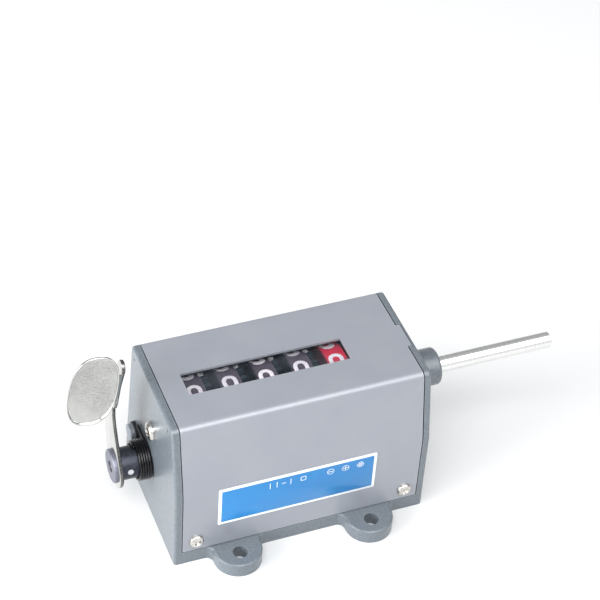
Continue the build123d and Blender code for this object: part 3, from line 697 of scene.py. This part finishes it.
figure_ink, tree, shader = new_finish("figure_white_ink")
wear = place_group(tree, grain, Size=0.0012, Detail=4.0).outputs["Mask"]
feed(tree, shader.inputs["Base Color"], blend_colour(tree, wear, srgb(238, 230, 244), srgb(255, 250, 255)))
feed(tree, shader.inputs["Roughness"], fade(tree, wear, 0.35, 0.5))
figure_shapes = [figure_mesh(figure) for figure in range(10)]
drum_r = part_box("number_wheel_1")[1].z - pivots["wheel_1_spin"].z
for k in range(1, 6):
    centre = pivots[f"wheel_{k}_spin"]

    def figures_round_drum(shape):
        for figure, flat in enumerate(figure_shapes):
            middle = radians(ZERO_AT + PRINT_OFF[k] - FIGURE_TURN * figure)
            before = len(shape.verts)
            shape.from_mesh(flat)
            shape.verts.ensure_lookup_table()
            for vertex in shape.verts[before:]:
                angle = middle + vertex.co.y * MM / drum_r
                rise = vertex.co.z / (PEN / 2) * INK_RISE * MM
                radius = drum_r + rise
                vertex.co = (centre.x + vertex.co.x * MM, centre.y + radius * sin(angle),
                             centre.z + radius * cos(angle))
    figures = smooth(new_piece(f"figures_{k}", figures_round_drum), 60)
    figures.data.materials.clear()
    figures.data.materials.append(figure_ink)
    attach(figures, f"wheel_{k}")


# ---- reset hub and cap ------------------------------------------------------
# The lever is riveted between a blackened steel hub and a flange that is
# countersunk for the end of the reset shaft.
dark_steel, tree, shader = new_finish("blackened_hub_steel", metallic=0.6)
bluing = place_group(tree, grain, Size=0.0015, Detail=4.0).outputs["Mask"]
black = blend_colour(tree, bluing, srgb(46, 49, 58), srgb(66, 69, 80))
feed(tree, shader.inputs["Base Color"], wear_and_highlight_edges(tree, black, 0.0004, 0.7, srgb(140, 142, 152)))
feed(tree, shader.inputs["Roughness"], fade(tree, bluing, 0.32, 0.5))
feed(tree, shader.inputs["Normal"], raise_surface(tree, bluing, 0.1, 0.00004))
dress(dark_steel, "reset_hub")

cap_grey, tree, shader = new_finish("flange_grey_steel", metallic=0.5)
facing = place_group(tree, grain, Size=0.0006, Detail=3.0).outputs["Mask"]
face = blend_colour(tree, facing, srgb(98, 100, 112), srgb(120, 122, 134))
feed(tree, shader.inputs["Base Color"], wear_and_highlight_edges(tree, face, 0.0004, 0.6, srgb(160, 162, 172)))
feed(tree, shader.inputs["Roughness"], fade(tree, facing, 0.35, 0.5))
dress(cap_grey, "hub_cap")

pin_steel, tree, shader = new_finish("pin_bright_steel", metallic=0.3)
facing = place_group(tree, grain, Size=0.0005, Detail=2.0).outputs["Mask"]
face = blend_colour(tree, facing, srgb(206, 206, 212), srgb(236, 236, 240))
feed(tree, shader.inputs["Base Color"], face)
feed(tree, shader.inputs["Roughness"], fade(tree, facing, 0.3, 0.45))
dress(pin_steel, "hub_pin")


# ---- post and sleeve --------------------------------------------------------
# A short grey post on the left cheek anchors the spring; a black rubber sleeve
# sits at its root.
post_grey, tree, shader = new_finish("post_grey_steel", metallic=0.3)
facing = place_group(tree, grain, Size=0.001, Detail=3.0).outputs["Mask"]
face = blend_colour(tree, facing, srgb(118, 124, 133), srgb(136, 142, 150))
feed(tree, shader.inputs["Base Color"], wear_and_highlight_edges(tree, face, 0.0004, 0.5, srgb(156, 162, 170)))
feed(tree, shader.inputs["Roughness"], fade(tree, facing, 0.35, 0.5))
dress(post_grey, "spring_anchor_post")

rubber, tree, shader = new_finish("sleeve_black_rubber")
skin = place_group(tree, grain, Size=0.0008, Detail=3.0).outputs["Mask"]
feed(tree, shader.inputs["Base Color"], blend_colour(tree, skin, srgb(20, 20, 22), srgb(36, 36, 40)))
feed(tree, shader.inputs["Roughness"], fade(tree, skin, 0.5, 0.7))
dress(rubber, "post_sleeve")


# ---- the reset spring -------------------------------------------------------
# Five close turns of blackened wire lie round the hub. One leg runs to the post on the cheek. The other
# leg, which the hub holds so that the spring winds up with the lever, is not drawn.
spring_low, spring_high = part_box("reset_spring")
reset_axis = pivots["reset_push"]
WIRE_R = 0.62 * MM
COIL_R = (spring_high.z - spring_low.z) / 2 - WIRE_R
TURNS = 5
COIL_STEPS = 40
WIRE_SIDES = 12
black_wire, tree, shader = new_finish("spring_black_wire", metallic=0.4)
oil = place_group(tree, grain, Size=0.0012, Detail=3.0).outputs["Mask"]
feed(tree, shader.inputs["Base Color"], blend_colour(tree, oil, srgb(14, 14, 16), srgb(30, 30, 34)))
feed(tree, shader.inputs["Roughness"], fade(tree, oil, 0.14, 0.26))


def wire_path():
    """Middle line of the wire: the leg at the cheek, then the turns."""
    start_x, end_x = spring_high.x - WIRE_R, spring_low.x + WIRE_R
    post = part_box("spring_anchor_post")
    leg_from = Vector((start_x, post[0].y - WIRE_R * 0.6, reset_axis.z + COIL_R))
    path = [leg_from + (Vector((start_x, reset_axis.y, reset_axis.z + COIL_R)) - leg_from) * i / 6
            for i in range(6)]
    for step in range(TURNS * COIL_STEPS + 1):
        share = step / (TURNS * COIL_STEPS)
        angle = 2 * pi * TURNS * share
        path.append(Vector((start_x + (end_x - start_x) * share, reset_axis.y - COIL_R * sin(angle),
                            reset_axis.z + COIL_R * cos(angle))))
    return path


def sweep_rod(shape, path, radius, sides):
    """A round rod along a path, with domed ends; the frame is carried along it."""
    tangents = [(after - before).normalized()
                for before, after in zip([path[0]] + path[:-1], path[1:] + [path[-1]])]
    across = tangents[0].orthogonal().normalized()
    loops = []
    for at, (point, along) in enumerate(zip(path, tangents)):
        across = (across - along * across.dot(along)).normalized()
        up = along.cross(across)
        if at == 0:
            rings = ((-0.7, 0.35), (-0.4, 0.8), (0.0, 1.0))
        elif at == len(path) - 1:
            rings = ((0.0, 1.0), (0.4, 0.8), (0.7, 0.35))
        else:
            rings = ((0.0, 1.0),)
        for ahead, share in rings:
            middle = point + along * ahead * radius
            loops.append([middle + (across * cos(2 * pi * i / sides) + up * sin(2 * pi * i / sides))
                          * radius * share for i in range(sides)])
    bridge_loops(shape, loops)


spring = new_piece("reset_spring_coils", lambda shape: sweep_rod(shape, wire_path(), WIRE_R, WIRE_SIDES))
smooth(spring, 60)
spring.data.materials.append(black_wire)
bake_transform(spring)
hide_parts("reset_spring")


# ---- the thumb lever --------------------------------------------------------
# A nickel plated steel stamping: an eye on the hub, an arm, a part that leans
# inwards, and a dished oval for the thumb folded forward from its edge.
def nickel_plate(name, pale, sheared):
    """Bright plating over fine orange peel; with sheared at 1, faces across the sheet are torn grey."""
    material, tree, shader = new_finish(name, metallic=1.0)
    pits = place_group(tree, grain, Size=0.0004, Detail=2.0).outputs["Mask"]
    clouds = place_group(tree, grain, Size=0.006, Detail=3.0).outputs["Mask"]
    x, _, _ = split_vector(tree, add_node(tree, "ShaderNodeTexCoord").outputs["Normal"])
    cut = fade(tree, reckon(tree, "ABSOLUTE", x), sheared, 0.0, 0.4, 0.8)
    plated = blend_colour(tree, clouds, srgb(pale, pale, pale - 3), srgb(pale + 12, pale + 12, pale + 8))
    plated = wear_and_highlight_edges(tree, plated, 0.00025, 0.5, srgb(150, 150, 148))
    torn = blend_colour(tree, pits, srgb(50, 51, 52), srgb(140, 140, 138))
    feed(tree, shader.inputs["Base Color"], blend_colour(tree, cut, plated, torn))
    feed(tree, shader.inputs["Roughness"], fade(tree, pits, 0.03, 0.06))
    feed(tree, shader.inputs["Normal"], raise_surface(tree, pits, 0.35, 0.00005))
    return material


NICKEL_PALE = 196
nickel = nickel_plate("lever_nickel_plate", NICKEL_PALE, 0.0)
nickel_cut = nickel_plate("lever_nickel_sheared", NICKEL_PALE, 1.0)

ARM_OUT = 0.35            # rounding of the stamped edge
ARM_SIDE_A = ((-9.0, 3.4), (-3.4, 14.0), (1.4, 25.5), (1.0, 37.0))
ARM_SIDE_B = ((9.0, 37.0), (12.0, 27.0), (12.4, 14.5), (9.6, 1.5))
EYE_R = 9.7
EYE_HOLE_R = 3.05
LEAN_AT = 36.0            # height of the bend above the reset axis
LEAN = 8.7                # degrees
TONGUE_SIDES = (-1.2, 6.4)
TONGUE_LOW = -1.5
TONGUE_FRONT = [(-2.4, 17), (-1.6, 10)]
TONGUE_END = (0.4, 19.4, 3.15)
DISH_HALF = (10.35, 18.25)
DISH_CENTRE = (-10.8, 10.8)
DISH_SQUARE = 2.5         # 2 is an ellipse, more is squarer
DISH_FRONT = -2.25
DISH_T = 0.95
DISH_DEEP = 1.15
DISH_BOWL = 0.35          # share of the depth that lies inside the lip
FOLD_R = 2.3
FOLD_FRONT = -3.15
FOLD_LEVELS = (1.2, 1.5, 17.6, 17.9)
DISH_SIDES = 96
ARM_T = (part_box("reset_hub")[0].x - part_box("hub_cap")[1].x) / MM


def flow(points, steps=6):
    """A smooth line through the points."""
    ends = [Vector(points[0]) * 2 - Vector(points[1])] + [Vector(p) for p in points]
    ends.append(Vector(points[-1]) * 2 - Vector(points[-2]))
    line = []
    for p0, p1, p2, p3 in zip(ends, ends[1:], ends[2:], ends[3:]):
        for step in range(steps):
            t = step / steps
            line.append((p1 * 2 + (p2 - p0) * t + (p0 * 2 - p1 * 5 + p2 * 4 - p3) * t * t
                         + (p1 * 3 - p0 - p2 * 3 + p3) * t ** 3) / 2)
    return line + [ends[-2]]


def stamped(name, outlines, place):
    """A flat stamping drawn in Y and Z, with its sheared edges rolled over a little."""
    def sheet(shape):
        edges = []
        for line in outlines:
            ring = [shape.verts.new((0, y, z)) for y, z in line]
            edges += [shape.edges.new(pair) for pair in zip(ring, ring[1:] + ring[:1])]
        faces = bmesh.ops.triangle_fill(shape, use_beauty=True, use_dissolve=True, edges=edges)
        flat = [part for part in faces["geom"] if isinstance(part, bmesh.types.BMFace)]
        solid = bmesh.ops.extrude_face_region(shape, geom=flat)
        moved = [part for part in solid["geom"] if isinstance(part, bmesh.types.BMVert)]
        bmesh.ops.translate(shape, vec=(ARM_T, 0, 0), verts=moved)
    piece = new_piece(name, sheet)
    roll = piece.modifiers.new("rolled edge", "BEVEL")
    roll.width, roll.segments, roll.limit_method, roll.angle_limit = ARM_OUT, 3, "ANGLE", radians(50)
    roll.use_clamp_overlap = True
    bpy.context.view_layer.update()
    mesh = bpy.data.meshes.new_from_object(piece.evaluated_get(bpy.context.evaluated_depsgraph_get()))
    piece.modifiers.clear()
    piece.data = mesh
    mesh.transform(place @ Matrix.Scale(MM, 4))
    mesh.materials.append(nickel_cut)
    return smooth(piece, 40)


arm_at = Matrix.Translation((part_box("hub_cap")[1].x, reset_axis.y, reset_axis.z))
upper_at = arm_at @ Matrix.Translation((0, 0, LEAN_AT * MM)) @ Matrix.Rotation(radians(LEAN), 4, "Y")


def round_part(y, z, r, degrees):
    """Points on a round of a stamping's outline."""
    return [(y + r * cos(radians(a)), z + r * sin(radians(a))) for a in degrees]


eye_round = round_part(0, 0, EYE_R, range(2, -196, -6))
arm_outline = eye_round + [tuple(p) for p in flow(ARM_SIDE_A)] + [tuple(p) for p in flow(ARM_SIDE_B)]
eye_hole = round_part(0, 0, EYE_HOLE_R, range(0, 360, 12))
arm = stamped("lever_arm", [arm_outline, eye_hole], arm_at)
tongue_outline = [(y, TONGUE_LOW) for y in TONGUE_SIDES] + round_part(*TONGUE_END, range(0, 181, 10))
tongue_outline += TONGUE_FRONT
tongue = stamped("lever_tongue", [tongue_outline], upper_at)


def dish_profile():
    """(share of the outline, y) from the middle of the front, over the lip, to the middle of the back."""
    front = [(share, DISH_FRONT - DISH_DEEP * DISH_BOWL * share ** 2.2)
             for share in (0.05, 0.2, 0.35, 0.5, 0.62, 0.73, 0.82, 0.89, 0.935)]
    lip_y = DISH_FRONT - DISH_DEEP
    lip = [(0.955, lip_y + 0.13), (0.97, lip_y + 0.02), (0.985, lip_y), (0.996, lip_y + 0.1),
           (1.0, lip_y + 0.25)]
    back = [(1.0, lip_y + DISH_T - 0.15), (0.985, lip_y + DISH_T)]
    back += [(share, y + DISH_T) for share, y in reversed(front)]
    return front + lip + back


def dish_outline(turn):
    """A point of the squarish oval, from its middle."""
    across, up = cos(turn), sin(turn)
    return (copysign(abs(across) ** (2 / DISH_SQUARE), across) * DISH_HALF[0],
            copysign(abs(up) ** (2 / DISH_SQUARE), up) * DISH_HALF[1])


def dish_shell(shape):
    loops = []
    for share, y in dish_profile():
        ring = [dish_outline(2 * pi * (i + 0.5) / DISH_SIDES) for i in range(DISH_SIDES)]
        loops.append([(DISH_CENTRE[0] + x * share, y, DISH_CENTRE[1] + z * share) for x, z in ring])
    bridge_loops(shape, loops)


def fold_strip(shape):
    """The sheet turning from the dish into the tongue."""
    strip = []
    for radius, turns in ((FOLD_R, range(0, 91, 15)), (FOLD_R - DISH_T, range(90, -1, -15))):
        strip += [(ARM_T - FOLD_R + radius * sin(radians(turn)),
                   FOLD_FRONT + FOLD_R - radius * cos(radians(turn))) for turn in turns]
    bridge_loops(shape, [[(x, y, z) for x, y in strip] for z in FOLD_LEVELS])


dish = new_piece("lever_dish", dish_shell)
fold = new_piece("lever_fold", fold_strip)
for piece in (dish, fold):
    piece.data.transform(upper_at @ Matrix.Scale(MM, 4))
    piece.data.materials.append(nickel)
    smooth(piece, 50)
for piece in (arm, tongue, fold, dish):
    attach(piece, "reset")
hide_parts("reset_lever")


# ---- studio -----------------------------------------------------------------
# A white table and soft lights from the front and the left, in pale surroundings.
# A taller light shows only in gloss. A black strip above and a small dark card on
# the table show only as reflections in the bright metal.
def level_card(name, x, y, z, half_x, half_y, finish):
    """A flat rectangle that faces up."""
    corners = [(x + i * half_x, y + j * half_y, z) for i, j in ((-1, -1), (1, -1), (1, 1), (-1, 1))]
    card = new_piece(name, lambda shape: shape.faces.new([shape.verts.new(at) for at in corners]))
    card.data.materials.append(finish)
    return card


table_white, tree, shader = new_finish("table_white", Roughness=0.9)
shader.inputs["Base Color"].default_value = (0.8, 0.8, 0.8, 1)
level_card("studio_table", 0, 0, 0, 4, 4, table_white)

flag_black, tree, shader = new_finish("flag_black", Roughness=1.0)
shader.inputs["Base Color"].default_value = (0, 0, 0, 1)
for card in (level_card("studio_flag", 0, 0.02, 1.1, 1.5, 0.03, flag_black),
             level_card("studio_dark_card", -0.055, -0.0735, 0.001, 0.0085, 0.005, flag_black)):
    card.visible_camera = card.visible_diffuse = card.visible_shadow = False

surroundings = bpy.data.worlds.new("pale_studio")
surroundings.use_nodes = True
tree = surroundings.node_tree
backdrop = tree.nodes["Background"]
x, y, _ = split_vector(tree, add_node(tree, "ShaderNodeTexCoord").outputs["Generated"])
rearward = fade(tree, y, 1.0, 0.5, -0.3, 0.5)
sideways = fade(tree, reckon(tree, "ABSOLUTE", x), 1.0, 0.45, 0.6, 0.9)
in_gloss = reckon(tree, "MULTIPLY", rearward, sideways)
glossy = add_node(tree, "ShaderNodeLightPath").outputs["Is Glossy Ray"]
backdrop.inputs["Color"].default_value = (0.97, 0.985, 1.0, 1)
feed(tree, backdrop.inputs["Strength"], blend_value(tree, glossy, 0.72, in_gloss))
bpy.context.scene.world = surroundings


def soft_light(name, at, aim, width, height, power):
    """A rectangular light that faces the aim point."""
    lamp = bpy.data.lights.new(name, "AREA")
    lamp.shape, lamp.size, lamp.size_y, lamp.energy = "RECTANGLE", width, height, power
    light = bpy.data.objects.new(name, lamp)
    facing = (Vector(aim) - Vector(at)).to_track_quat("-Z", "Y").to_matrix().to_4x4()
    light.matrix_world = Matrix.Translation(at) @ facing
    bpy.context.scene.collection.objects.link(light)
    return light


soft_light("front_softbox", (-0.15, -0.66, 1.05), (0, 0, 0.03), 1.3, 0.7, 11.5)
soft_light("left_softbox", (-1.1, -0.15, 0.4), (0, 0, 0.05), 0.8, 0.6, 16.5)
shine = soft_light("highlight_softbox", (0.4, -0.7, 1.1), (0, 0, 0.04), 1.6, 1.3, 17)
shine.visible_diffuse = False

CAMERA_TURN = -23.654     # degrees round the object from the front
CAMERA_RISE = 42.135
CAMERA_ROLL = 4.2
CAMERA_LENS = 120.54
CAMERA_TO_AIM = 847.75 * MM
AIM = Vector((0, -2.6, 27.6)) * MM
AIM_OFF = (-9.695 * MM, -57.769 * MM)
turn, rise, roll = (radians(v) for v in (CAMERA_TURN, CAMERA_RISE, CAMERA_ROLL))
back = Vector((sin(turn) * cos(rise), -cos(turn) * cos(rise), sin(rise)))
level = Vector((0, 0, 1)).cross(back).normalized()
above = back.cross(level)
right = level * cos(roll) + above * sin(roll)
up = above * cos(roll) - level * sin(roll)
eye = AIM - right * AIM_OFF[0] - up * AIM_OFF[1] + back * CAMERA_TO_AIM
lens = bpy.data.cameras.new("camera")
lens.lens, lens.sensor_width = CAMERA_LENS, 36
lens.clip_start, lens.clip_end = 0.05, 20
camera = bpy.data.objects.new("camera", lens)
axes = Matrix((right, up, back)).transposed().to_4x4()
camera.matrix_world = Matrix.Translation(eye) @ axes
bpy.context.scene.collection.objects.link(camera)
bpy.context.scene.camera = camera
bpy.context.scene.view_settings.view_transform = "Standard"
